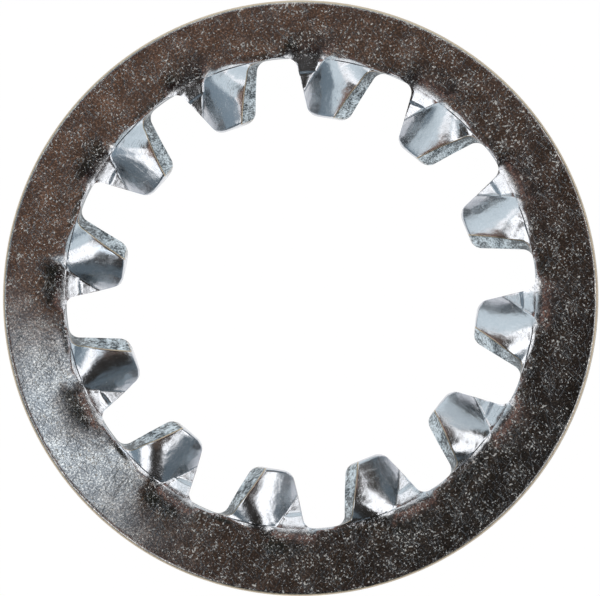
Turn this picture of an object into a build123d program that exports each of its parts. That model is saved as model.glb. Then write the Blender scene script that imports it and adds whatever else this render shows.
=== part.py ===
"""Internal-tooth lock washer, stamped from spring-steel strip in one piece.

The flat ring carries twelve teeth that point inwards. Each tooth is twisted about its own
centre line, so that one long edge stands above the ring and the other hangs below it.
The frame: the hole's axis is Z, the ring's middle plane is Z = 0, and +X runs along the
centre line of the first tooth.
"""

import os
from itertools import pairwise
from math import cos, hypot, radians, sin, sqrt, tan

from build123d import *

# Driving dimensions, in millimetres and degrees.
outer_diameter = 22.5       # rim
gap_circle_diameter = 17.8  # bottoms of the gaps between the teeth
tooth_circle_diameter = 13.4  # circle through the tooth tips
thickness = 1.0             # strip
tooth_count = 12
twist_angle = 36.0          # turn of a tooth about its own centre line
tip_width = 1.1             # tooth across its tip, along the strip
flank_angle = 27.0          # each flank against the tooth's centre line, before the twist
gap_corner_radius = 0.42    # corners at the bottom of a gap
tip_corner_radius = 0.24    # corners of a tooth tip
root_margin = 0.23          # how far into the ring the bend at a tooth's root reaches
ridge_slope = 26.5          # climb of the root along the ridge
raised_edge_slope = 33.7    # climb of the root along the raised edge
twist_length = 0.98         # stretch of the root over which the flanks turn
crease_width = 0.12         # the two creases of a root where they start
face_crown = 0.015          # rise of a tooth's face between its edges
anchor_depth = 0.1          # how far the root's end is sunk into the ring
rim_offset = 0.18           # rim's centre from the hole's centre, a stamping tolerance
rim_offset_angle = 249.0    # direction of that offset
rim_roll_radius = 0.16      # upper edge of the rim, rolled over by the punch
rim_break_radius = 0.06     # lower edge of the rim
corner_halfway_share = 0.8  # one more section of a gap corner, as a share of its length

# The root's slope towards the lowered edge, from the gap circle inwards: (distance, drop).
lowered_slope = ((0.0, 0.0), (0.35, 0.12), (0.6, 0.29), (0.97, 0.4), (1.6, 0.54))

half_thickness = thickness / 2
gap_radius = gap_circle_diameter / 2
tip_reach = tooth_circle_diameter / 2
fold_reach = gap_radius + root_margin
anchor_reach = fold_reach + root_margin
twist = radians(twist_angle)


def tooth_face(across):
    """Height of the twisted tooth's upper face, `across` from its centre line."""
    return half_thickness / cos(twist) - across * tan(twist)


def lowered_face(across, reach):
    """Height of the root's upper face where it drops from the ring in flat folds."""
    distance = gap_radius - hypot(across, reach)
    for (start, start_drop), (end, end_drop) in pairwise(lowered_slope):
        if start <= distance <= end:
            share = (distance - start) / (end - start)
            return half_thickness - start_drop - share * (end_drop - start_drop)
    return half_thickness - (anchor_depth if distance < 0 else lowered_slope[-1][1])


def raised_face(across, reach, start_radius, slope_angle):
    """Height of the root's upper face where it climbs from the ring at `start_radius`."""
    distance = start_radius - hypot(across, reach)
    return half_thickness + distance * tan(radians(slope_angle))


def flank_reach_across(reach):
    """Half the twisted tooth's width as seen along Z, without the corner at the gap's bottom."""
    half_width = tip_width / 2 + (reach - tip_reach) * tan(radians(flank_angle))
    return half_width * cos(twist) + half_thickness * sin(twist)


# The corner at the bottom of a gap is an arc that touches the flank and the gap circle.
lean = tan(radians(flank_angle)) * cos(twist)
lean_length = hypot(lean, 1)
start_across = flank_reach_across(0) + gap_corner_radius * lean_length
corner_reach = (
    -lean * start_across
    + sqrt((gap_radius - gap_corner_radius) ** 2 * lean_length**2 - start_across**2)
) / lean_length**2
corner_across = start_across + lean * corner_reach
corner_start = corner_reach + gap_corner_radius * lean / lean_length
corner_end = corner_reach * gap_radius / (gap_radius - gap_corner_radius)


def outer_across(reach):
    """Half the tooth's width as seen along Z, with the corner at the gap's bottom."""
    if reach <= corner_start:
        return flank_reach_across(reach)
    rise = min(reach, corner_end) - corner_reach
    return corner_across - sqrt(gap_corner_radius**2 - rise**2)


def tooth_section(reach):
    """Corners of the tooth cut across its centre line, as (across, height) pairs.

    The upper face runs from the lowered edge over the valley crease and the ridge to the
    raised edge. The section looks the same when it is turned half round, so the lower face
    is the upper one turned.
    """
    outer = outer_across(reach)
    turned = min(max(fold_reach - reach, 0) / twist_length, 1)
    raised_edge = thickness * sin(twist) * turned - outer
    axis_drop = half_thickness / cos(twist) - lowered_face(0, reach)
    axis_climb = raised_face(0, reach, fold_reach, ridge_slope) - half_thickness / cos(twist)
    valley = min(axis_drop / tan(twist) + crease_width / 2, outer - crease_width)
    ridge = max(-axis_climb / tan(twist) - crease_width / 2, raised_edge + crease_width)
    ridge = min(ridge, valley - crease_width)
    climb = raised_face(ridge, reach, fold_reach, ridge_slope)
    edge_climb = raised_face(raised_edge, reach, gap_radius, raised_edge_slope)
    upper = [
        (outer, max(lowered_face(outer, reach), tooth_face(outer))),
        (valley, max(lowered_face(valley, reach), tooth_face(valley)) + face_crown),
        (ridge, min(climb, tooth_face(ridge)) + face_crown),
        (raised_edge, min(edge_climb, tooth_face(raised_edge))),
    ]
    return upper + [(-across, -height) for across, height in upper]


fold_reaches = [gap_radius - distance for distance, _ in lowered_slope]
stations = [
    anchor_reach,
    fold_reach,
    *fold_reaches,
    corner_end,
    corner_start + (corner_end - corner_start) * corner_halfway_share,
    corner_start,
    fold_reach - twist_length,
    tip_reach,
]
stations.sort(reverse=True)

with BuildPart() as tooth:
    for reach in stations:
        with BuildSketch(Plane((reach, 0, 0), x_dir=(0, 1, 0), z_dir=(1, 0, 0))):
            with BuildLine():
                Polyline(*tooth_section(reach), close=True)
            make_face()
    loft(ruled=True)
    tip_edges = tooth.edges().group_by(Axis.X)[0]
    fillet(tip_edges.sort_by(SortBy.LENGTH)[-2:], tip_corner_radius)

rim_centre = (
    rim_offset * cos(radians(rim_offset_angle)),
    rim_offset * sin(radians(rim_offset_angle)),
)

with BuildPart() as lock_washer:
    with BuildSketch(Plane.XY.offset(-half_thickness)):
        with Locations(rim_centre):
            Circle(outer_diameter / 2)
        Circle(gap_radius, mode=Mode.SUBTRACT)
    extrude(amount=thickness)
    rims = lock_washer.edges().filter_by(GeomType.CIRCLE).group_by(SortBy.RADIUS)[-1]
    lower_rim, upper_rim = rims.sort_by(Axis.Z)
    fillet(upper_rim, rim_roll_radius)
    fillet(lower_rim, rim_break_radius)
    with PolarLocations(0, tooth_count):
        add(tooth.part)

os.makedirs("parts", exist_ok=True)
lock_washer.part.label = "lock_washer"
export_step(lock_washer.part, "parts/lock_washer.step")
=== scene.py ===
"""Toothed lock washer of zinc-plated spring steel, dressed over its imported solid.

The shape functions count in millimetres, in the frame of one tooth: u runs across the tooth and
is positive on the side of its lowered edge, y runs along it from the hole's axis outwards, z is
the height over the ring's middle plane, and r is the distance from the hole's axis.
"""

from math import asin, atan2, cos, pi, radians, sin, sqrt, tan

import bpy
import numpy as np
from mathutils import Matrix, Vector


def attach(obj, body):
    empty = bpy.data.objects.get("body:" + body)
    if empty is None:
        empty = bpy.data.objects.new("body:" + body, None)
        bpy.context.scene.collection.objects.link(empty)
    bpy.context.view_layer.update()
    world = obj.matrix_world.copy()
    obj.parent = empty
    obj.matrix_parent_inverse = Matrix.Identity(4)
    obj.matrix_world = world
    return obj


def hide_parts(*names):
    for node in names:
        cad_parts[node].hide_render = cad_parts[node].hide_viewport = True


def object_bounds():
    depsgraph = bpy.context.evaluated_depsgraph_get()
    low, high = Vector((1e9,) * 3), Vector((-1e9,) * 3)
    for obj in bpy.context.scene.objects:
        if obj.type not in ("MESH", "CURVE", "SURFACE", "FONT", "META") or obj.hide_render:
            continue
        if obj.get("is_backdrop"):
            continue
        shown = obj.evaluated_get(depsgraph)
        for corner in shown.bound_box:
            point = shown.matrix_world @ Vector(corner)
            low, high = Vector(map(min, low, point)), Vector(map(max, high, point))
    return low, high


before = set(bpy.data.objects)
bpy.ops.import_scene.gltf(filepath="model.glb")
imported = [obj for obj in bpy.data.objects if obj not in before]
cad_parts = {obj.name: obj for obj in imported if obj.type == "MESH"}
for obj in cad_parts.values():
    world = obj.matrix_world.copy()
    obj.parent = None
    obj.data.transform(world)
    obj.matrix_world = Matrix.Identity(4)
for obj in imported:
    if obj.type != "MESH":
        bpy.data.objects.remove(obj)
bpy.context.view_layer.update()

bl_info = {
    "name": "Toothed lock washer",
    "version": (1, 0, 0),
    "blender": (4, 5, 0),
    "location": "3D View > Sidebar > Lock washer",
    "description": "Dresses a toothed lock washer in zinc-plated spring steel",
    "category": "Object",
}

MM = 0.001

# The mesh of one tooth: columns of points across it and rows along it.
FLANK_COLUMNS = (0.0, 0.06, 0.2, 0.4, 0.6, 0.78, 0.89, 0.955, 1.0)  # as shares of its width
FACE_STARTS = (0.03, 0.07, 0.12)  # the face's first columns, from the raised edge
FACE_COLUMNS = 26
FOLD_COLUMNS = 10
FOLD_SPREAD, FOLD_POWER = 0.18, 2.2  # columns stand closer towards the lowered edge
TOOTH_ROWS = 30
CORNER_ROWS = 9
TIP_ROWS = 14  # rows over which the tip's rounded line straightens

# The mesh of the ring: columns beside each tooth, and rows inside the gap circle and the rim.
GAP_COLUMNS = 7
RING_STEPS = (0, 0.012, 0.035, 0.07, 0.12, 0.18, 0.24, 0.31, 0.38, 0.46, 0.55, 0.66, 0.8)
RIM_STEPS = (1.2, 0.95, 0.7, 0.5, 0.34, 0.22, 0.16, 0.12, 0.08, 0.045, 0.02, 0.005, 0)
EVEN_START, EVEN_WIDTH = 0.25, 1.1  # where the ring's columns become evenly spaced
RING_MIDDLE = 0.3  # middle of the tooth's face where it runs out into the ring

# Edges and walls.
TIP_ROUNDING = 0.06
GAP_ROUNDING = 0.11
LOWER_RIM_ROUNDING = 0.06
GAP_MARGIN, GAP_FADE = 0.01, 0.04  # radians over which a gap's rounding begins at a tooth
LEAST_WALL = 0.03  # height of a wall where the two sides would nearly meet
OFFSET_START, OFFSET_WIDTH = 0.7, 1.0  # stretch outside the gap circle over which the rim shifts
RIM_BAND = 0.296  # width of the rim's edges and wall
STEEP, SLOPING = 0.25, 0.9  # upward share of a face's normal on a wall and on a rolled edge
WALL_AREA = 4e-8  # square metres: the slivers of wall below this look like the plated face
SMOOTH_ANGLE = radians(50)

# Places of the finishes among the washer's materials; the plated face is 0.
# The last place holds the painted warm highlight along the raised edges and the rim's rolled
# edges.
SHEARED, EDGE_HIGHLIGHT = 1, 2

# How fine the patterns of the finishes are, in waves per metre.
SPECKLE, PITS, GRAIN, DENTS, STAINS, SWELL = 14000, 10500, 6500, 3200, 1500, 1300
SCRATCH, EDGE_HIGHLIGHT_GRAIN, PUNCH_MARKS, PUNCH_PATCHES = 24000, 9000, 15000, 2600

# Heights of their bumps, in metres.
SWELL_HEIGHT, DENT_HEIGHT, GRAIN_HEIGHT = 1.1e-5, 1.1e-5, 4.5e-6
PIT_DEPTH, SCRATCH_DEPTH, EDGE_HIGHLIGHT_BUMP, PUNCH_DEPTH = 2.0e-5, 1.5e-5, 8e-6, 1.6e-5

SCRATCH_ANGLES = (38, -62, 81)  # degrees
SCRATCH_LENGTH = 30  # times its width
SPECKLE_DARK = 0.31  # the speckle's dark colour as a share of the steel's
# The bright end of the plating's random speckle, which is also the colour of the painted glints in
# its pits.
SPECKLE_AND_GLINT = (1, 0.95, 0.89, 1)
# Colour of the painted warm highlight along the raised edges and the rim's rolled edges.
EDGE_HIGHLIGHT_COLOUR = (0.64, 0.54, 0.41, 1)
# The sheared edge's colours are partly its own duller tone and partly painted shade, kept dark to
# stand in for the shaded floor and neighbouring teeth that the flanks reflect.
SHEARED_DARK, SHEARED_BRIGHT = (0.05, 0.065, 0.075, 1), (0.7, 0.8, 0.86, 1)

# Colours of the studio.
WHITE, PALE, BLUE = (1, 1, 1), (0.78, 0.88, 0.93), (0.6, 0.77, 0.9)
WARM, BROWN = (1, 0.9, 0.8), (1, 0.6, 0.5)

# Softboxes: name, azimuths in the picture and angles from straight up, in degrees.
SOFTBOX_DISTANCE = 140  # millimetres
SOFTBOXES = (
    ("Softbox right", (-54, 62), (37, 51)),
    ("Softbox low right", (-26, 10), (51, 70)),
    ("Softbox lower right", (-54, -26), (51, 57)),
    ("Softbox left", (186, 246), (34, 49)),
    ("Softbox low left", (212, 246), (49, 61)),
)

# The other panels: as above, then the distance in millimetres, colour and strength.
PANELS = (
    ("Tent top", (62, 186), (37, 62), 160, PALE, 0.95),
    ("Window top", (70, 126), (38, 50), 155, WHITE, 1.4),
    ("Tent top low", (62, 126), (62, 90), 160, PALE, 0.92),
    ("Tent top shade", (126, 152), (62, 78), 160, PALE, 0.8),
    ("Tent shade", (126, 186), (62, 90), 165, BLUE, 0.3),
    ("Tent upper right", (40, 62), (51, 90), 160, PALE, 0.7),
    ("Tent left", (186, 215), (49, 90), 160, BLUE, 0.4),
    ("Tent gap", (10, 40), (51, 72), 160, (0.9, 0.75, 0.6), 0.05),
    ("Tent low", (-145, 40), (57, 90), 170, BLUE, 0.2),
    ("Dark side", (250, 306), (34, 69), 150, WARM, 0.025),
    ("Shoulder shade", (0, 360), (29, 38), 150, WARM, 0.03),
    ("Shoulder glow", (10, 250), (15, 29), 150, BROWN, 0.3),
    ("Shoulder dark", (250, 370), (15, 29), 150, BROWN, 0.03),
    ("Lens", (-60, 126), (0, 15), 150, (0.9, 1, 0.8), 0.032),
    ("Lens side", (126, 190), (0, 15), 150, (1, 0.93, 0.85), 0.06),
    ("Lens brown side", (190, 300), (0, 15), 150, (1, 0.72, 0.6), 0.12),
    ("Tent", (0, 360), (0, 95), 220, BLUE, 0.16),
)

# The dark card over the ring, and the window whose light falls on one side of it.
CARD_MIDDLE, CARD_WIDTH = 10.75, 3.1  # millimetres
CARD_HEIGHT, CARD_REACH = 0.0105, 0.011  # metres
CARD_DIRECTION = 140  # degrees; the card gets browner this way
CARD_DARK, CARD_BROWN = (0.033, 0.029, 0.024, 1), (0.255, 0.155, 0.11, 1)
WINDOW_COLOUR = (1.9, 2.12, 2.28, 1)
WINDOW_DIRECTION, WINDOW_HALF_ANGLE = 209, 34  # degrees
WINDOW_REACH = (0.0094, 0.0112)  # metres
SCALLOP_ANGLE, SCALLOP_DEPTH = 25, 0.0008  # degrees and metres

FLOOR_SIZE, FLOOR_GAP = 3, 2e-5  # metres
PAPER_WHITE = 1.012
PAPER_SHARE = 0.985  # how much of the paper is plain white, without the washer's shadow
SENSOR_WIDTH = 36  # millimetres


class WasherSettings(bpy.types.PropertyGroup):
    """Sizes and finish of the washer."""

    outer_diameter: bpy.props.FloatProperty(
        name="Outer diameter",
        description="Rim of the ring",
        default=0.0225,
        unit="LENGTH",
        precision=5,
    )
    gap_circle_diameter: bpy.props.FloatProperty(
        name="Gap circle",
        description="Circle at the bottoms of the gaps",
        default=0.0178,
        unit="LENGTH",
        precision=5,
    )
    tooth_circle_diameter: bpy.props.FloatProperty(
        name="Tooth circle",
        description="Circle through the tooth tips",
        default=0.0134,
        unit="LENGTH",
        precision=5,
    )
    thickness: bpy.props.FloatProperty(
        name="Thickness",
        description="Strip that the washer is stamped from",
        default=0.001,
        unit="LENGTH",
        precision=5,
    )
    tooth_count: bpy.props.IntProperty(
        name="Teeth",
        description="Teeth around the hole",
        default=12,
        min=3,
    )
    twist: bpy.props.FloatProperty(
        name="Twist",
        description="Turn of a tooth about its own centre line",
        default=radians(36),
        subtype="ANGLE",
    )
    tip_width: bpy.props.FloatProperty(
        name="Tip width",
        description="Tooth across its tip",
        default=0.0011,
        unit="LENGTH",
        precision=5,
    )
    flank_angle: bpy.props.FloatProperty(
        name="Flank angle",
        description="Flank against the tooth's centre line",
        default=radians(27),
        subtype="ANGLE",
    )
    gap_corner_radius: bpy.props.FloatProperty(
        name="Gap corner",
        description="Corner radius at the bottom of a gap",
        default=0.00042,
        unit="LENGTH",
        precision=5,
    )
    tip_corner_radius: bpy.props.FloatProperty(
        name="Tip corner",
        description="Corner radius of a tooth tip",
        default=0.00024,
        unit="LENGTH",
        precision=5,
    )
    rim_offset: bpy.props.FloatProperty(
        name="Rim offset",
        description="Rim's centre from the hole's centre",
        default=0.00018,
        unit="LENGTH",
        precision=5,
    )
    rim_offset_angle: bpy.props.FloatProperty(
        name="Offset direction",
        description="Direction of the rim's offset",
        default=radians(249),
        subtype="ANGLE",
    )
    rim_roll: bpy.props.FloatProperty(
        name="Rim roll",
        description="Radius of the rim's upper edge",
        default=0.00016,
        unit="LENGTH",
        precision=5,
    )
    steel: bpy.props.FloatVectorProperty(
        name="Steel",
        description="Colour of the plated steel",
        default=(0.74, 0.76, 0.8),
        subtype="COLOR",
    )
    roughness: bpy.props.FloatProperty(
        name="Roughness",
        description="Gloss of the plated face",
        default=0.18,
        min=0.0,
        max=1.0,
        subtype="FACTOR",
    )


class StudioSettings(bpy.types.PropertyGroup):
    """Camera and light."""

    camera_distance: bpy.props.FloatProperty(
        name="Camera distance",
        description="Camera from the washer",
        default=0.35,
        unit="LENGTH",
    )
    picture_width: bpy.props.FloatProperty(
        name="Picture width",
        description="Width of the picture at the washer",
        default=0.02265,
        unit="LENGTH",
        precision=5,
    )
    camera_roll: bpy.props.FloatProperty(
        name="Camera roll",
        description="Turn of the picture",
        default=radians(-21),
        subtype="ANGLE",
    )
    camera_tilt: bpy.props.FloatProperty(
        name="Camera tilt",
        description="Camera's lean from straight above",
        default=radians(2.5),
        subtype="ANGLE",
    )
    camera_lean_direction: bpy.props.FloatProperty(
        name="Lean direction",
        description="Direction in the picture that the camera leans to",
        default=radians(-15),
        subtype="ANGLE",
    )
    softbox_strength: bpy.props.FloatProperty(
        name="Softbox",
        description="Strength of the side softboxes",
        default=1.6,
        min=0.0,
    )


def smooth(x):
    """0 below 0, 1 above 1, and an S curve between them."""
    x = np.clip(x, 0, 1)
    return x * x * (3 - 2 * x)


def between(x, start, rise, end, fall):
    """Rises from 0 to 1 over `rise` from `start`, and falls back over `fall` from `end`."""
    return smooth((x - start) / rise) * (1 - smooth((x - end) / fall))


def soft_positive(x, width):
    """x where it is positive and 0 where it is negative, with a bend of that width."""
    inside = np.clip(x + width, 0, 2 * width)
    return np.where(x > width, x, inside**2 / (4 * width))


def soft_min(a, b, width):
    """The lower of a and b, with a rounded bend between them."""
    width = np.maximum(width, 1e-6)
    overlap = np.maximum(width - np.abs(a - b), 0) / width
    return np.minimum(a, b) - overlap**2 * width / 4


def soft_max(a, b, width):
    """The higher of a and b, with a rounded bend between them."""
    return -soft_min(-a, -b, width)


def edge_roll(distance, radius):
    """How far a rounded edge lies below the face, at a distance from the outline."""
    inside = np.clip(radius - distance, 0, radius)
    return radius - np.sqrt(np.maximum(radius**2 - inside**2, 0))


class ToothPlan:
    """Outline and heights of one twisted tooth with its share of the ring, in millimetres."""

    # Tip: the lowered corner against the raised one, and how much shorter the raised side is.
    lowered_corner_share = 2.1
    tip_slant, tip_slant_start, tip_slant_width = 0.06, 0.2, 0.8
    droop, droop_length = 0.06, 0.45

    # Face: the curve of its crown, and the square of the half width at which it is flush.
    crown, crown_level = 0.24, 0.38

    # Flank beside the raised edge: a share of its full width at the root, growing to the tip.
    flank_root, flank_root_share, flank_growth, least_flank = 0.1, 0.6, 0.4, 0.07
    flank_close = 0.5  # the last share of the gap's corner, over which the flank closes
    flank_bend, flank_bend_width = 0.1, 0.3

    # Root on the lowered side: a first fold at the shoulder and a second, slanting one.
    shoulder, shoulder_bend, shoulder_slope = 0.12, 0.3, 0.42
    fold_start, fold_reach, fold_slant = 0.3, 0.365, 0.13
    fold_length, fold_step, fold_bend, fold_rise = 0.7, 0.07, 0.13, 0.03
    draw_across, draw_start, draw_width, draw_depth = (-0.05, 0.55, 1.5, 0.9), 0.8, 0.85, 0.04
    dish_across, dish_width, dish_power, dish_depth = (-0.05, 0.4, 1.3, 1.1), 1.3, 1.3, 0.09

    # Root on the raised side: start and slope of the climb, which grow across the tooth.
    climb_width, climb_bend = 1.3, 0.24
    climb_start, climb_pull, climb_curve = 0.3, 0.25, 0.17
    climb_slope, climb_growth = 0.53, 0.22

    # The arc that the die presses into that root.
    mark_u, mark_r, mark_radius = -0.72, 8.12, 0.755
    mark_depth, mark_width, mark_start, mark_fade = 0.007, 0.035, 8.45, 0.1

    # Where the tooth gives way to the plain ring, in radians at its sides, and the creases.
    side_margin, side_fade = 0.008, 0.06
    ring_margin, ring_fade = 0.55, 0.5
    ridge_bend = 0.5
    crease_bend, crease_growth, crease_start, crease_fade = 0.012, 0.15, 0.1, 0.4
    valley_guess, valley_margin, valley_steps = 0.6, 0.12, 4

    def __init__(self, settings):
        self.half = settings.thickness / MM / 2
        self.gap = settings.gap_circle_diameter / MM / 2
        self.tip = settings.tooth_circle_diameter / MM / 2
        self.rim = settings.outer_diameter / MM / 2
        self.twist = settings.twist
        self.tip_half = settings.tip_width / MM / 2
        self.flank = tan(settings.flank_angle)
        self.corner = settings.gap_corner_radius / MM
        self.tip_corner = settings.tip_corner_radius / MM
        self.lowered_corner = self.lowered_corner_share * self.tip_corner
        self.sector = 2 * pi / settings.tooth_count
        self.lean = self.flank * cos(self.twist)
        self.lean_length = sqrt(1 + self.lean**2)

        # Centre of the gap corner's arc, which touches the flank and the gap circle.
        first = self.half_width(0) + self.corner * self.lean_length
        inner = self.gap - self.corner
        self.corner_y = (
            -self.lean * first + sqrt(inner**2 * self.lean_length**2 - first**2)
        ) / self.lean_length**2
        self.corner_u = first + self.lean * self.corner_y

    def half_width(self, y):
        """Half the tooth's width seen along the hole's axis, on its straight flanks."""
        strip = self.tip_half + (y - self.tip) * self.flank
        return strip * cos(self.twist) + self.half * sin(self.twist)

    def corner_centre(self, radius):
        """Distance from the tooth's centre line to the centre of a tip corner of that radius."""
        return self.half_width(self.tip) + self.lean * radius - radius * self.lean_length

    def corner_touch(self, radius):
        """Distance along the tooth at which a tip corner of that radius meets the flank."""
        return self.tip + radius - radius * self.lean / self.lean_length

    def tip_line(self, u):
        """The tip's edge: shorter and sharper on the raised side, rounder on the lowered one."""
        radius = np.where(u < 0, self.tip_corner, self.lowered_corner)
        inside = np.maximum(np.abs(u) - self.corner_centre(radius), 0)
        shorter = self.tip_slant * smooth((self.tip_slant_start - u) / self.tip_slant_width)
        return self.tip + radius + shorter - np.sqrt(np.maximum(radius**2 - inside**2, 0))

    def lowered_end(self, y):
        """Where a row of the tooth meets the outline on its lowered side."""
        radius = self.lowered_corner
        if y >= self.corner_touch(radius):
            return self.half_width(y)
        rise = self.tip + radius - y
        return self.corner_centre(radius) + sqrt(radius**2 - rise**2)

    def row_ends(self):
        """Where each row of the tooth meets the outline, and how far it follows the gap circle."""
        start = self.corner_touch(self.tip_corner)
        angle_start = asin(self.lean / self.lean_length)
        angle_end = pi / 2 + atan2(self.corner_u, self.corner_y)
        straight_end = self.corner_y + self.corner * sin(angle_start)
        ends = []
        for row in range(TOOTH_ROWS):
            y = start + (straight_end - start) * row / TOOTH_ROWS
            ends.append((self.half_width(y), y, 0.0))
        for row in range(CORNER_ROWS + 1):
            share = row / CORNER_ROWS
            angle = angle_start + (angle_end - angle_start) * share
            u = self.corner_u - self.corner * cos(angle)
            ends.append((u, self.corner_y + self.corner * sin(angle), share))
        return ends

    def flank_width(self, y, opened):
        """Width of the flank that shows beside the raised edge."""
        root = self.corner_y + self.flank_root
        down = np.clip((root - y) / (root - self.tip), 0, 1)
        share = self.flank_root_share + self.flank_growth * down
        return max(2 * self.half * sin(self.twist) * share * opened, self.least_flank)

    def lowered(self, u, r):
        """Height of the folds that lead down from the ring to the lowered edge."""
        slope = soft_positive(self.shoulder + self.gap - r, self.shoulder_bend)
        fold = self.gap - self.fold_reach - (u - self.fold_start) * self.fold_slant - r
        step = np.clip((u - self.fold_start) / self.fold_length, 0, 1) * self.fold_step
        step = step * smooth(fold / self.fold_bend)
        draw = between(u, *self.draw_across)
        draw = draw * smooth((self.gap + self.draw_start - r) / self.draw_width)
        dish = np.clip((self.gap + self.dish_width - r) / self.dish_width, 0, 1)
        dish = between(u, *self.dish_across) * dish**self.dish_power
        folds = self.shoulder_slope * slope + step - self.fold_rise * np.maximum(fold, 0)
        return self.half - folds - self.draw_depth * draw - self.dish_depth * dish

    def raised(self, u, r):
        """Height of the dished root that leads up from the ring to the raised edge."""
        share = np.clip(-u / self.climb_width, 0, 1)
        start = self.gap + self.climb_start - self.climb_pull * share - self.climb_curve * share**2
        slope = self.climb_slope + self.climb_growth * share
        mark = np.hypot(u - self.mark_u, r - self.mark_r) - self.mark_radius
        groove = self.mark_depth * np.exp(-((mark / self.mark_width) ** 2))
        groove = groove * smooth((r - self.mark_start) / self.mark_fade)
        return self.half + slope * soft_positive(start - r, self.climb_bend) - groove

    def face(self, u, y, middle):
        """Height of the twisted face, slightly crowned and drooping at the tip."""
        plane = self.half / cos(self.twist) - u * tan(self.twist)
        near_tip = np.clip((self.tip + self.droop_length - y) / self.droop_length, 0, 1)
        crown = self.crown * (self.crown_level - (u - middle) ** 2)
        return plane + crown - self.droop * near_tip**2

    def upper(self, u, y, middle):
        """Height of the upper side, before the flank is cut and the edges are rounded."""
        r = np.hypot(u, y)
        angle = np.abs(np.arctan2(u, y))
        side = smooth((self.sector / 2 - self.side_margin - angle) / self.side_fade)
        near = smooth((self.gap + self.ring_margin - r) / self.ring_fade) * side
        low = self.half + (self.lowered(u, r) - self.half) * side
        high = self.half + (self.raised(u, r) - self.half) * side
        ridge = soft_min(high, self.face(u, y, middle), self.ridge_bend)
        outwards = smooth((r - self.gap + self.crease_start) / self.crease_fade)
        crease = self.crease_bend + self.crease_growth * outwards
        return low + (soft_max(low, ridge, crease) - low) * near

    def valley(self, y, middle, lowered_u):
        """Where the twisted face and the folds meet in a row, found in a few steps."""
        u = self.valley_guess
        for _ in range(self.valley_steps):
            face = self.face(u, y, middle) + u * tan(self.twist)
            u = (face - self.lowered(u, np.hypot(u, y))) / tan(self.twist)
            u = float(np.clip(u, self.valley_margin, lowered_u - self.valley_margin))
        return u


def columns_across(outline_u, raised_u, valley_u, lowered_u):
    """Points of a row: up the flank, over the twisted face and out to the lowered edge."""
    flank = outline_u + (raised_u - outline_u) * np.array(FLANK_COLUMNS)
    starts = raised_u + np.array(FACE_STARTS)
    steps = np.linspace(0, 1, FACE_COLUMNS + 1 - len(FACE_STARTS))[1:]
    face = starts[-1] + (valley_u - starts[-1]) * steps
    steps = np.linspace(0, 1, FOLD_COLUMNS + 1)[1:]
    steps = (1 + FOLD_SPREAD) * steps - FOLD_SPREAD * steps**FOLD_POWER
    return np.concatenate([flank, starts, face, valley_u + (lowered_u - valley_u) * steps])


def tooth_rows(plan):
    """Points of the tooth's upper side: rows from the tip outwards, columns across."""
    ends = plan.row_ends()
    first_u, first_y, _ = ends[0]
    rows = []
    for number, (end_u, end_y, on_circle) in enumerate(ends):
        opened = smooth((1 - on_circle) / plan.flank_close)
        width = plan.flank_width(end_y, opened)
        raised_u = -end_u + width
        lowered_u = end_u if on_circle else plan.lowered_end(end_y)
        middle = (raised_u + lowered_u) / 2
        valley_u = plan.valley(end_y, middle, lowered_u)
        u = columns_across(-end_u, raised_u, valley_u, lowered_u)

        y = end_y + on_circle * (np.sqrt(plan.gap**2 - u**2) - sqrt(plan.gap**2 - end_u**2))
        across = np.where(u < 0, u * first_u / end_u, u * plan.lowered_end(first_y) / lowered_u)
        y += (plan.tip_line(across) - first_y) * max(0.0, 1 - number / TIP_ROWS)

        # The flank falls from the raised edge to the outline of the side below.
        edge = plan.upper(raised_u, end_y, middle)
        outline = edge - (edge + plan.upper(end_u, end_y, middle)) * opened
        flank = edge + (u - raised_u) * (edge - outline) / width
        bend = plan.flank_bend * min(1.0, width / plan.flank_bend_width)
        rows.append((u, y, soft_min(plan.upper(u, y, middle), flank, bend)))
    return rows


def ring_rows(plan, tooth_top):
    """Points of the ring's upper side: rows from the gap circle to the rim."""
    angles = np.arctan2(tooth_top[0], tooth_top[1])
    gap_left = np.linspace(-plan.sector / 2, angles[0], GAP_COLUMNS + 1)[:-1]
    gap_right = np.linspace(angles[-1], plan.sector / 2, GAP_COLUMNS + 1)[1:]
    first = np.concatenate([gap_left, angles, gap_right])
    even = np.linspace(-plan.sector / 2, plan.sector / 2, len(first))
    radii = [plan.gap + step for step in RING_STEPS] + [plan.rim - step for step in RIM_STEPS]
    rows = []
    for radius in radii:
        angle = first + (even - first) * smooth((radius - plan.gap - EVEN_START) / EVEN_WIDTH)
        u = radius * np.sin(angle)
        y = radius * np.cos(angle)
        rows.append((u, y, plan.upper(u, y, RING_MIDDLE)))
    return rows


def round_edges(plan, tooth, ring):
    """Rounds the outline's upper edges, small at the tips and larger at the gaps' bottoms."""
    tip_y = tooth[0][1]
    for u, y, z in tooth:
        z -= edge_roll(y - tip_y, TIP_ROUNDING)
        missing = max(0.0, LEAST_WALL - z[0] - z[-1]) / 2
        z[0] += missing
        z[-1] += missing
    top_u, top_y, top_z = tooth[-1]
    angle_end = atan2(top_u[-1], top_y[-1])
    for u, y, z in ring:
        in_gap = smooth((np.abs(np.arctan2(u, y)) - angle_end + GAP_MARGIN) / GAP_FADE)
        z -= edge_roll(np.hypot(u, y) - plan.gap, GAP_ROUNDING) * in_gap
    ring[0][2][GAP_COLUMNS : GAP_COLUMNS + len(top_z)] = top_z


def points_of(piece):
    """The piece's points as an array in millimetres."""
    points = np.empty(len(piece.data.vertices) * 3, np.float32)
    piece.data.vertices.foreach_get("co", points)
    return points.reshape(-1, 3).astype(float) / MM


def set_points(piece, points):
    """Moves the piece's points to these places, in millimetres."""
    piece.data.vertices.foreach_set("co", (points * MM).astype(np.float32).ravel())
    piece.data.update()


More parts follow.
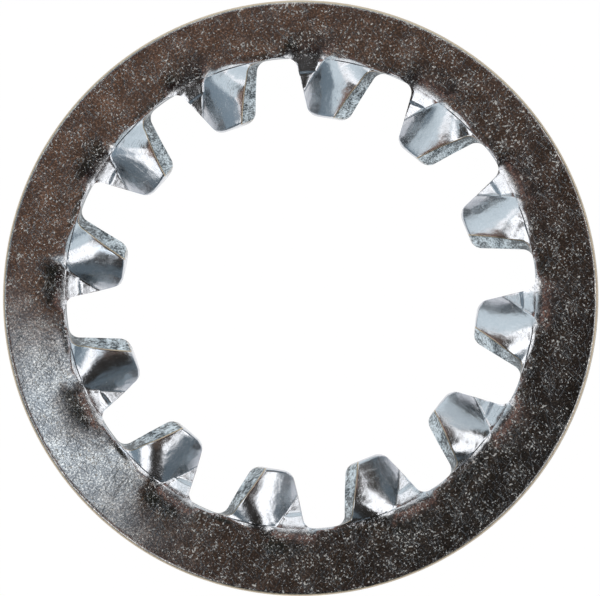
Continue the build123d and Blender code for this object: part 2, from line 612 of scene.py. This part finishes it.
def grid_piece(name, rows):
    """A grid with one point for each of the rows' points."""
    columns = len(rows[0][0])
    bpy.ops.mesh.primitive_grid_add(
        x_subdivisions=columns - 1, y_subdivisions=len(rows) - 1, size=1, location=(0, 0, 0)
    )
    piece = bpy.context.object
    piece.name = name
    if len(piece.data.vertices) != columns * len(rows):
        raise RuntimeError("the blank has an unexpected number of points")
    set_points(piece, np.concatenate([np.stack([y, u, z], axis=1) for u, y, z in rows]))
    return piece


def select_only(*pieces):
    """Selects these objects and nothing else; the first is the active one."""
    bpy.ops.object.select_all(action="DESELECT")
    for piece in pieces:
        piece.select_set(True)
    bpy.context.view_layer.objects.active = pieces[0]


def edit_all(step, **options):
    """Runs a mesh operator on the whole of the active piece."""
    bpy.ops.object.mode_set(mode="EDIT")
    bpy.ops.mesh.select_all(action="SELECT")
    step(**options)
    bpy.ops.object.mode_set(mode="OBJECT")


def bridge(piece, plan, inner):
    """Joins the upper and the lower side along the hole's outline or along the rim."""
    mesh = piece.data
    counts = np.zeros(len(mesh.edges), int)
    loops = np.empty(len(mesh.loops), int)
    mesh.loops.foreach_get("edge_index", loops)
    np.add.at(counts, loops, 1)
    ends = np.empty(len(mesh.edges) * 2, int)
    mesh.edges.foreach_get("vertices", ends)
    radius = np.hypot(*points_of(piece)[:, :2].T)
    is_inner = radius[ends.reshape(-1, 2)].mean(1) < (plan.gap + plan.rim) / 2
    bpy.ops.object.mode_set(mode="EDIT")
    bpy.ops.mesh.select_mode(type="EDGE")
    bpy.ops.mesh.select_all(action="DESELECT")
    bpy.ops.object.mode_set(mode="OBJECT")
    mesh.edges.foreach_set("select", (counts == 1) & (is_inner if inner else ~is_inner))
    mesh.update()
    bpy.ops.object.mode_set(mode="EDIT")
    bpy.ops.mesh.bridge_edge_loops()
    bpy.ops.object.mode_set(mode="OBJECT")


class Finish:
    """A material's node tree, with the kinds of node that the finishes are made of."""

    def __init__(self, name):
        self.material = bpy.data.materials.new(name)
        self.material.use_nodes = True
        self.nodes = self.material.node_tree.nodes
        self.links = self.material.node_tree.links
        self.shader = self.nodes["Principled BSDF"]
        self.surface = self.nodes["Material Output"].inputs["Surface"]

    def node(self, kind, **options):
        """A new node with these options."""
        node = self.nodes.new("ShaderNode" + kind)
        for name, value in options.items():
            setattr(node, name, value)
        return node

    def feed(self, socket, value):
        """Sets a socket to a plain value, or links another node's output to it."""
        if isinstance(value, bpy.types.NodeSocket):
            self.links.new(value, socket)
        else:
            socket.default_value = value

    def own_place(self):
        """The object's own coordinates."""
        return self.node("TexCoord").outputs["Object"]

    def noise(self, place, scale, detail, roughness=0.5):
        """A noise pattern, with its fineness in waves per metre."""
        node = self.node("TexNoise")
        self.feed(node.inputs["Vector"], place)
        self.feed(node.inputs["Scale"], scale)
        self.feed(node.inputs["Detail"], detail)
        self.feed(node.inputs["Roughness"], roughness)
        return node.outputs["Fac"]

    def remap(self, value, from_range, to_range, interpolation_type="LINEAR"):
        """A value moved from one range to another."""
        node = self.node("MapRange", interpolation_type=interpolation_type)
        self.feed(node.inputs["Value"], value)
        for socket, limit in zip(("From Min", "From Max"), from_range):
            self.feed(node.inputs[socket], limit)
        for socket, limit in zip(("To Min", "To Max"), to_range):
            self.feed(node.inputs[socket], limit)
        return node.outputs["Result"]

    def combine(self, operation, first, second=0):
        """Two values put together."""
        node = self.node("Math", operation=operation)
        self.feed(node.inputs[0], first)
        self.feed(node.inputs[1], second)
        return node.outputs[0]

    def blend(self, share, first, second):
        """A colour between two others."""
        node = self.node("Mix", data_type="RGBA")
        self.feed(node.inputs["Factor"], share)
        self.feed(node.inputs["A"], first)
        self.feed(node.inputs["B"], second)
        return node.outputs["Result"]

    def bump(self, height, distance, strength=None, below=None):
        """A bump of that height in metres, on top of the one below."""
        node = self.node("Bump")
        self.feed(node.inputs["Height"], height)
        self.feed(node.inputs["Distance"], distance)
        if strength is not None:
            self.feed(node.inputs["Strength"], strength)
        if below is not None:
            self.feed(node.inputs["Normal"], below)
        return node.outputs["Normal"]

    def vector(self, operation, first, second=None):
        """The node that puts two vectors together."""
        node = self.node("VectorMath", operation=operation)
        self.feed(node.inputs[0], first)
        if second is not None:
            self.feed(node.inputs[1], second)
        return node

    def reach(self, place):
        """Distance from the hole's axis."""
        split = self.node("SeparateXYZ")
        flat = self.node("CombineXYZ")
        self.feed(split.inputs["Vector"], place)
        self.feed(flat.inputs["X"], split.outputs["X"])
        self.feed(flat.inputs["Y"], split.outputs["Y"])
        return self.vector("LENGTH", flat.outputs["Vector"]).outputs["Value"]

    def scratches(self, place, angle):
        """Long, thin handling marks: 0 in a scratch that runs at that angle, 1 beside it."""
        turn = self.node("Mapping", vector_type="TEXTURE")
        self.feed(turn.inputs["Vector"], place)
        self.feed(turn.inputs["Rotation"], (0, 0, angle))
        self.feed(turn.inputs["Scale"], (SCRATCH_LENGTH, 1, 1))
        marks = self.noise(turn.outputs["Vector"], SCRATCH, detail=1)
        return self.remap(marks, (0.67, 0.71), (1.0, 0.0))

    def shine(self, colour, strength=1.0):
        """Gives off plain light and reflects none."""
        self.nodes.remove(self.shader)
        light = self.node("Emission")
        self.feed(light.inputs["Color"], colour)
        self.feed(light.inputs["Strength"], strength)
        self.feed(self.surface, light.outputs["Emission"])


def plated_steel(settings):
    """Bright zinc plating over rolled strip: grainy on the ring, smoother on the teeth, with
    painted glints in the ring's pits.
    """
    steel = Finish("Plated steel")
    place = steel.own_place()

    # The ring's finish gives way to the teeth's at their roots.
    gap = settings.gap_circle_diameter / 2
    root = (gap - 0.0001, gap + 0.0003)
    reach = steel.reach(place)
    coarse = steel.remap(reach, root, (0.1, 1.0), "SMOOTHSTEP")
    uneven = steel.remap(reach, root, (0.35, 1.0), "SMOOTHSTEP")
    dented = steel.remap(reach, root, (1.0, 0.15), "SMOOTHSTEP")

    speckle = steel.noise(place, SPECKLE, detail=2, roughness=0.7)
    speckle = steel.remap(speckle, (0.46, 0.76), (0.0, 1.0))
    stains = steel.noise(place, STAINS, detail=3, roughness=0.65)
    stains = steel.remap(stains, (0.3, 0.7), (-0.22, 0.22))
    pits = steel.noise(place, PITS, detail=2, roughness=0.65)
    pits = steel.combine("ADD", pits, steel.combine("MULTIPLY", stains, 0.25))
    pits = steel.remap(pits, (0.62, 0.7), (1.0, 0.0))
    bright = steel.combine("ADD", speckle, stains)
    # Painted glints: in the pits the colour is pushed towards the bright speckle colour, standing
    # in for the light that the pits catch.
    bright = steel.combine("ADD", bright, steel.remap(pits, (0.0, 1.0), (0.9, 0.0)))
    dark = (*(SPECKLE_DARK * part for part in settings.steel), 1)
    speckled = steel.blend(bright, dark, SPECKLE_AND_GLINT)
    colour = steel.blend(coarse, (*settings.steel, 1), speckled)

    swell = steel.noise(place, SWELL, detail=1)
    normal = steel.bump(swell, SWELL_HEIGHT)
    normal = steel.bump(steel.noise(place, DENTS, detail=1), DENT_HEIGHT, dented, normal)
    normal = steel.bump(steel.noise(place, GRAIN, detail=1), GRAIN_HEIGHT, uneven, normal)
    normal = steel.bump(pits, PIT_DEPTH, coarse, normal)
    for angle in SCRATCH_ANGLES:
        marks = steel.scratches(place, radians(angle))
        normal = steel.bump(marks, SCRATCH_DEPTH, coarse, normal)

    least, most = settings.roughness * 0.8, settings.roughness * 1.3
    gloss = steel.remap(swell, (0.3, 0.7), (least, most))
    dull = steel.combine("MULTIPLY", steel.remap(pits, (0.0, 0.8), (0.5, 0.0)), coarse)

    steel.feed(steel.shader.inputs["Metallic"], 1)
    steel.feed(steel.shader.inputs["Base Color"], colour)
    steel.feed(steel.shader.inputs["Normal"], normal)
    steel.feed(steel.shader.inputs["Roughness"], steel.combine("ADD", gloss, dull))
    return steel.material


def highlighted_edge():
    """Painted warm highlight: a yellowish colour on the raised edges and the rim's rolled edges,
    standing in for the warm light they catch.
    """
    highlight = Finish("Edge highlight")
    grain = highlight.noise(highlight.own_place(), EDGE_HIGHLIGHT_GRAIN, detail=2)
    highlight.feed(highlight.shader.inputs["Metallic"], 1)
    highlight.feed(highlight.shader.inputs["Base Color"], EDGE_HIGHLIGHT_COLOUR)
    highlight.feed(highlight.shader.inputs["Normal"], highlight.bump(grain, EDGE_HIGHLIGHT_BUMP))
    highlight.feed(highlight.shader.inputs["Roughness"], highlight.remap(grain, (0.3, 0.7), (0.3, 0.5)))
    return highlight.material


def sheared_steel(settings):
    """Plating over the punched edge, with the marks of the punch through the strip, darkened as
    painted shade that grows towards the teeth's roots.
    """
    sheared = Finish("Sheared steel")
    place = sheared.own_place()
    reach = sheared.reach(place)

    # The marks run through the strip: they change with the distance from the hole's axis.
    along = sheared.node("CombineXYZ")
    sheared.feed(along.inputs["X"], reach)
    shrunk = sheared.vector("SCALE", place)
    sheared.feed(shrunk.inputs["Scale"], 0.5)
    drawn = sheared.vector("ADD", along.outputs["Vector"], shrunk.outputs["Vector"])
    marks = sheared.noise(drawn.outputs["Vector"], PUNCH_MARKS, detail=3, roughness=0.75)
    patches = sheared.noise(place, PUNCH_PATCHES, detail=1)

    fine = sheared.remap(marks, (0.42, 0.62), (0.0, 1.0))
    broad = sheared.remap(patches, (0.35, 0.65), (-0.35, 0.3))
    gap = settings.gap_circle_diameter / 2
    # Painted shade: the flanks grow darker towards the teeth's roots, standing in for the dark
    # they reflect there; the walls further out stay at the darkest.
    root_shade = sheared.remap(reach, (gap - 0.0009, gap - 0.0002), (0.1, -0.5))
    bright = sheared.combine("ADD", fine, sheared.combine("ADD", broad, root_shade))
    colour = sheared.blend(bright, SHEARED_DARK, SHEARED_BRIGHT)

    sheared.feed(sheared.shader.inputs["Metallic"], 1)
    sheared.feed(sheared.shader.inputs["Base Color"], colour)
    sheared.feed(sheared.shader.inputs["Normal"], sheared.bump(marks, PUNCH_DEPTH))
    sheared.feed(sheared.shader.inputs["Roughness"], sheared.remap(marks, (0.3, 0.7), (0.22, 0.4)))
    return sheared.material


def sector(plan, settings):
    """One tooth with its share of the ring: an upper side, and the same turned half round."""
    tooth = tooth_rows(plan)
    ring = ring_rows(plan, tooth[-1])
    round_edges(plan, tooth, ring)
    bpy.ops.object.select_all(action="DESELECT")
    washer = grid_piece("Washer", tooth)
    share = grid_piece("Ring", ring)
    finishes = (plated_steel(settings), sheared_steel(settings), highlighted_edge())
    for piece in (washer, share):
        for material in finishes:
            piece.data.materials.append(material)
    raised_edge = len(FLANK_COLUMNS) - 1
    faces_across = len(tooth[0][0]) - 1
    for face in washer.data.polygons:
        column = face.index % faces_across
        # The columns at the raised edge get the painted warm highlight, and those below it the
        # sheared flank.
        if raised_edge - 1 <= column <= raised_edge:
            face.material_index = EDGE_HIGHLIGHT
        elif column < raised_edge:
            face.material_index = SHEARED
    select_only(washer, share)
    bpy.ops.object.join()
    bpy.ops.object.mode_set(mode="EDIT")
    bpy.ops.mesh.select_all(action="SELECT")
    bpy.ops.mesh.remove_doubles(threshold=1e-7)
    bpy.ops.mesh.duplicate()
    bpy.ops.transform.rotate(
        value=pi, orient_axis="X", orient_type="GLOBAL", center_override=(0, 0, 0)
    )
    bpy.ops.object.mode_set(mode="OBJECT")
    return washer


def repeat_round(washer, plan, count):
    """Repeats the sector round the hole and closes the walls of the hole and the rim."""
    turn = bpy.data.objects.new("Sector turn", None)
    bpy.context.scene.collection.objects.link(turn)
    turn.rotation_euler = (0, 0, plan.sector)
    array = washer.modifiers.new("Teeth", "ARRAY")
    array.count = count
    array.use_relative_offset = False
    array.use_object_offset = True
    array.offset_object = turn
    bpy.context.view_layer.update()
    select_only(washer)
    bpy.ops.object.modifier_apply(modifier=array.name)
    bpy.data.objects.remove(turn)
    edit_all(bpy.ops.mesh.remove_doubles, threshold=2e-6)
    bridge(washer, plan, inner=True)
    bridge(washer, plan, inner=False)
    edit_all(bpy.ops.mesh.normals_make_consistent, inside=False)


def round_rim(washer, plan, settings):
    """Rounds the rim's two edges and moves the rim off the hole's centre."""
    points = points_of(washer)
    r = np.hypot(points[:, 0], points[:, 1])
    points[:, 2] += np.where(
        points[:, 2] > 0,
        -edge_roll(plan.rim - r, settings.rim_roll / MM),
        edge_roll(plan.rim - r, LOWER_RIM_ROUNDING),
    )
    shift = settings.rim_offset / MM * smooth((r - plan.gap - OFFSET_START) / OFFSET_WIDTH)
    points[:, 0] += shift * cos(settings.rim_offset_angle)
    points[:, 1] += shift * sin(settings.rim_offset_angle)
    set_points(washer, points)


def finish_walls(washer, plan):
    """Gives the punched walls their sheared finish, and the rim's rolled edges their painted warm
    highlight.
    """
    for face in washer.data.polygons:
        upwards = abs(face.normal.z)
        if face.center.xy.length / MM > plan.rim - RIM_BAND and upwards < SLOPING:
            face.material_index = SHEARED if upwards < STEEP else EDGE_HIGHLIGHT
        elif upwards < STEEP and face.area > WALL_AREA:
            face.material_index = SHEARED


class LOCKWASHER_OT_body(bpy.types.Operator):
    """Builds the dressed washer over its solid"""

    bl_idname = "lockwasher.body"
    bl_label = "Washer"

    def execute(self, context):
        settings = context.scene.lock_washer
        plan = ToothPlan(settings)
        washer = sector(plan, settings)
        repeat_round(washer, plan, settings.tooth_count)
        round_rim(washer, plan, settings)
        finish_walls(washer, plan)
        select_only(washer)
        bpy.ops.object.shade_smooth_by_angle(angle=SMOOTH_ANGLE)
        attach(washer, "root")
        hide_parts("lock_washer")
        return {"FINISHED"}


def light_only(piece, finish):
    """Makes a piece of the studio that lights the washer and is seen only in its reflections."""
    piece.data.materials.append(finish.material)
    piece.visible_camera = False
    piece.visible_shadow = False
    piece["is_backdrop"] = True


def panel(name, roll, azimuths, polars, distance, colour, strength):
    """A curved studio panel; angles in degrees, azimuth as the picture shows it."""
    bpy.ops.mesh.primitive_grid_add(x_subdivisions=24, y_subdivisions=12, size=1)
    piece = bpy.context.object
    piece.name = name
    shares = points_of(piece) * MM + 0.5
    azimuth = np.radians(azimuths[0] + (azimuths[1] - azimuths[0]) * shares[:, 0]) + roll
    polar = np.radians(polars[0] + (polars[1] - polars[0]) * shares[:, 1])
    out, up = distance * np.sin(polar), distance * np.cos(polar)
    set_points(piece, np.stack([out * np.cos(azimuth), out * np.sin(azimuth), up], axis=1))
    finish = Finish(name)
    finish.shine((*colour, 1), strength)
    light_only(piece, finish)


def window_light(card, place, angle):
    """Share of window light on the card: a scalloped patch, stronger further out."""
    ahead = card.vector("DOT_PRODUCT", place, (cos(angle), sin(angle), 0)).outputs["Value"]
    aside = card.vector("DOT_PRODUCT", place, (-sin(angle), cos(angle), 0)).outputs["Value"]
    turn = card.combine("ARCTAN2", aside, ahead)
    wave = card.combine("COSINE", card.combine("MULTIPLY", turn, 2 * pi / radians(SCALLOP_ANGLE)))
    scallop = card.combine("MULTIPLY", wave, -SCALLOP_DEPTH)
    reach = card.combine("ADD", card.reach(place), scallop)
    outwards = card.remap(reach, WINDOW_REACH, (0.12, 1.0), "SMOOTHSTEP")
    turn = card.combine("ABSOLUTE", turn)
    inside = card.remap(turn, (radians(WINDOW_HALF_ANGLE), 0.0), (0.0, 1.0), "SMOOTHSTEP")
    return card.combine("MULTIPLY", inside, outwards)


def dark_card(roll):
    """A dark ring of card above the washer's own ring, browner towards one side."""
    bpy.ops.mesh.primitive_grid_add(
        x_subdivisions=72, y_subdivisions=1, size=1, location=(0, 0, CARD_HEIGHT)
    )
    piece = bpy.context.object
    piece.name = "Dark card"
    shares = points_of(piece) * MM
    angle = 2 * pi * shares[:, 0]
    reach = CARD_MIDDLE + CARD_WIDTH * shares[:, 1]
    set_points(piece, np.stack([reach * np.cos(angle), reach * np.sin(angle), 0 * angle], axis=1))

    card = Finish("Dark card")
    place = card.own_place()
    browner = radians(CARD_DIRECTION) + roll
    ahead = card.vector("DOT_PRODUCT", place, (cos(browner), sin(browner), 0)).outputs["Value"]
    share = card.remap(ahead, (-CARD_REACH, CARD_REACH), (0.0, 1.0))
    lit = window_light(card, place, radians(WINDOW_DIRECTION) + roll)
    card.shine(card.blend(lit, card.blend(share, CARD_DARK, CARD_BROWN), WINDOW_COLOUR))
    light_only(piece, card)


def white_paper():
    """White paper that the camera and the metal see as plain white, with a soft shadow."""
    paper = Finish("White paper")
    paper.feed(paper.shader.inputs["Base Color"], (0.85, 0.85, 0.85, 1))
    paper.feed(paper.shader.inputs["Roughness"], 0.9)
    white = paper.node("Emission")
    paper.feed(white.inputs["Strength"], PAPER_WHITE)
    path = paper.node("LightPath").outputs
    seen = paper.combine("MAXIMUM", path["Is Camera Ray"], path["Is Glossy Ray"])
    seen = paper.combine("MAXIMUM", seen, path["Is Transmission Ray"])
    mix = paper.node("MixShader")
    paper.feed(mix.inputs["Fac"], paper.combine("MULTIPLY", seen, PAPER_SHARE))
    paper.feed(mix.inputs[1], paper.shader.outputs["BSDF"])
    paper.feed(mix.inputs[2], white.outputs["Emission"])
    paper.feed(paper.surface, mix.outputs["Shader"])
    return paper.material


def add_camera(scene):
    """A long lens almost straight above the rim's centre."""
    washer, settings = scene.lock_washer, scene.lock_washer_studio
    data = bpy.data.cameras.new("Camera")
    camera = bpy.data.objects.new("Camera", data)
    scene.collection.objects.link(camera)
    data.sensor_width = SENSOR_WIDTH
    data.lens = SENSOR_WIDTH * settings.camera_distance / settings.picture_width
    data.clip_start = 0.001
    data.clip_end = 10
    offset, towards = washer.rim_offset, washer.rim_offset_angle
    target = Vector((offset * cos(towards), offset * sin(towards), washer.thickness / 2))
    roll, tilt = settings.camera_roll, settings.camera_tilt
    lean = settings.camera_lean_direction + roll
    back = Vector((sin(tilt) * cos(lean), sin(tilt) * sin(lean), cos(tilt)))
    right = Vector((cos(roll), sin(roll), 0))
    right = (right - back * right.dot(back)).normalized()
    turned = Matrix((right, back.cross(right), back)).transposed().to_4x4()
    turned.translation = target + back * settings.camera_distance
    camera.matrix_world = turned
    scene.camera = camera


class LOCKWASHER_OT_studio(bpy.types.Operator):
    """Sets up the floor, the light and the camera"""

    bl_idname = "lockwasher.studio"
    bl_label = "Studio"

    def execute(self, context):
        scene = context.scene
        settings = scene.lock_washer_studio
        low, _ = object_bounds()
        bpy.ops.object.select_all(action="DESELECT")
        bpy.ops.mesh.primitive_plane_add(size=FLOOR_SIZE, location=(0, 0, low.z - FLOOR_GAP))
        floor = context.object
        floor.name = "Floor"
        floor.data.materials.append(white_paper())
        floor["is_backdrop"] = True

        roll = settings.camera_roll
        for name, azimuths, polars in SOFTBOXES:
            strength = settings.softbox_strength
            panel(name, roll, azimuths, polars, SOFTBOX_DISTANCE, WHITE, strength)
        for name, azimuths, polars, distance, colour, strength in PANELS:
            panel(name, roll, azimuths, polars, distance, colour, strength)
        dark_card(roll)

        scene.world = bpy.data.worlds.new("Studio")
        scene.world.use_nodes = True
        back = scene.world.node_tree.nodes["Background"]
        back.inputs["Color"].default_value = (1, 1, 1, 1)
        back.inputs["Strength"].default_value = 1.0

        add_camera(scene)
        scene.view_settings.view_transform = "Standard"
        return {"FINISHED"}


class LOCKWASHER_PT_tools(bpy.types.Panel):
    """Sizes, finish and studio of the washer"""

    bl_label = "Lock washer"
    bl_space_type = "VIEW_3D"
    bl_region_type = "UI"
    bl_category = "Lock washer"

    def draw(self, context):
        for group in (context.scene.lock_washer, context.scene.lock_washer_studio):
            box = self.layout.box()
            for name in group.bl_rna.properties.keys():
                if name not in ("rna_type", "name"):
                    box.prop(group, name)
        for operator in (LOCKWASHER_OT_body, LOCKWASHER_OT_studio):
            self.layout.operator(operator.bl_idname)


CLASSES = (
    WasherSettings,
    StudioSettings,
    LOCKWASHER_OT_body,
    LOCKWASHER_OT_studio,
    LOCKWASHER_PT_tools,
)


def register():
    """Adds the classes and their settings to Blender."""
    for item in CLASSES:
        bpy.utils.register_class(item)
    bpy.types.Scene.lock_washer = bpy.props.PointerProperty(type=WasherSettings)
    bpy.types.Scene.lock_washer_studio = bpy.props.PointerProperty(type=StudioSettings)


def unregister():
    """Takes them away again."""
    del bpy.types.Scene.lock_washer_studio
    del bpy.types.Scene.lock_washer
    for item in reversed(CLASSES):
        bpy.utils.unregister_class(item)


def main():
    """Builds everything in order."""
    register()
    bpy.ops.lockwasher.body()
    bpy.ops.lockwasher.studio()


if __name__ == "__main__":
    main()
